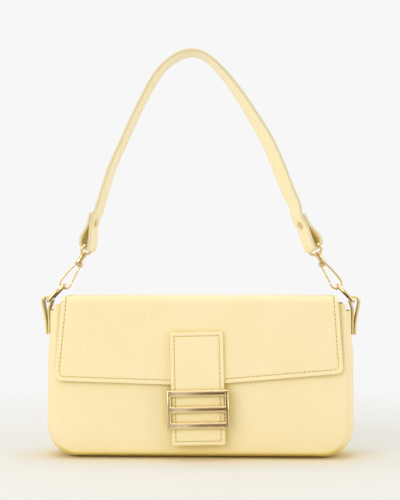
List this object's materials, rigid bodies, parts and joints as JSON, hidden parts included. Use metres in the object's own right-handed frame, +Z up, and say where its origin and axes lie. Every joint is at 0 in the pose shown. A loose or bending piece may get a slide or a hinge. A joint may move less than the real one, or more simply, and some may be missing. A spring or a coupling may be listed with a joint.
{
  "type": "crossbody bag",
  "caption": "Structured leather flap bag with a short shoulder strap, snap hooks, D-rings and a ladder buckle clasp.",
  "frame": {"origin": "middle of the flat base, on the surface it stands on", "axes": "+X along the bag, +Y to the back, +Z up; the flap and buckle face -Y"},
  "size_m": [0.2874, 0.0679, 0.3685],
  "materials": {
    "leather": "soft grained calf, satin",
    "lining": "plain woven lining",
    "pale_gold": "polished pale gold plating",
    "board": "matt"
  },
  "bodies": {
    "bag_body": {"front_panel": "leather", "back_panel": "leather", "gusset": "leather", "base_board": "board", "lining_front": "lining", "lining_back": "lining", "lining_gusset": "lining", "slip_pocket": "lining", "magnet_socket": "pale_gold", "magnet_washer": "pale_gold", "flap_hem": "leather", "ring_tab_left": "leather", "ring_tab_right": "leather"},
    "flap_top": {"flap_top": "leather"},
    "flap_front": {"flap_front": "leather", "flap_lining": "lining", "clasp_tab": "leather", "buckle_frame": "pale_gold", "magnet_stud": "pale_gold"},
    "strap": {"shoulder_strap": "leather", "strap_rivet_left": "pale_gold", "strap_rivet_right": "pale_gold"},
    "dring_left": {"dring_left": "pale_gold"},
    "eye_left": {"swivel_eye_left": "pale_gold"},
    "hook_left": {"hook_left": "pale_gold", "gate_pin_left": "pale_gold"},
    "gate_left": {"hook_gate_left": "pale_gold"},
    "dring_right": {"dring_right": "pale_gold"},
    "eye_right": {"swivel_eye_right": "pale_gold"},
    "hook_right": {"hook_right": "pale_gold", "gate_pin_right": "pale_gold"},
    "gate_right": {"hook_gate_right": "pale_gold"}
  },
  "joints": [
    {"name": "flap_top_lift", "type": "hinge", "parent": "bag_body", "child": "flap_top", "pos_m": [0, 0.02795, 0.1382], "axis": [-1, 0, 0], "range_deg": [0, 6]},
    {"name": "flap_open", "type": "hinge", "parent": "flap_top", "child": "flap_front", "pos_m": [0, -0.02825, 0.13821], "axis": [-1, 0, 0], "range_deg": [0, 165]},
    {"name": "strap_swing", "type": "hinge", "parent": "bag_body", "child": "strap", "pos_m": [0, 0, 0.1506], "axis": [-1, 0, 0], "range_deg": [-45, 45]},
    {"name": "dring_swing_left", "type": "hinge", "parent": "bag_body", "child": "dring_left", "pos_m": [-0.1373, 0, 0.1388], "axis": [0, 1, 0], "range_deg": [-9.5, 3.5]},
    {"name": "eye_swing_left", "type": "hinge", "parent": "strap", "child": "eye_left", "pos_m": [-0.10138, 0, 0.18792], "axis": [0.2038, 0.9703, -0.1303], "range_deg": [-1, 4]},
    {"name": "hook_swivel_left", "type": "hinge", "parent": "eye_left", "child": "hook_left", "pos_m": [-0.12525, 0, 0.1506], "axis": [0.5388, 0, 0.8425], "range_deg": [-15, 15]},
    {"name": "gate_push_left", "type": "hinge", "parent": "hook_left", "child": "gate_left", "pos_m": [-0.10898, 0, 0.17047], "axis": [0, -1, 0], "range_deg": [0, 20], "stiffness_Nm_per_rad": 0.004, "springref_deg": -20.05},
    {"name": "dring_swing_right", "type": "hinge", "parent": "bag_body", "child": "dring_right", "pos_m": [0.1373, 0, 0.1388], "axis": [0, -1, 0], "range_deg": [-9.5, 3.5]},
    {"name": "eye_swing_right", "type": "hinge", "parent": "strap", "child": "eye_right", "pos_m": [0.10138, 0, 0.18792], "axis": [0.356, -0.9063, 0.2277], "range_deg": [-1, 4]},
    {"name": "hook_swivel_right", "type": "hinge", "parent": "eye_right", "child": "hook_right", "pos_m": [0.12525, 0, 0.1506], "axis": [-0.5388, 0, 0.8425], "range_deg": [-15, 15]},
    {"name": "gate_push_right", "type": "hinge", "parent": "hook_right", "child": "gate_right", "pos_m": [0.10898, 0, 0.17047], "axis": [0, 1, 0], "range_deg": [0, 20], "stiffness_Nm_per_rad": 0.004, "springref_deg": -20.05}
  ],
  "couplings": [
    {"joint": "dring_swing_left", "follows": "eye_swing_left", "ratio": -1.8},
    {"joint": "dring_swing_right", "follows": "eye_swing_right", "ratio": -1.8}
  ]
}
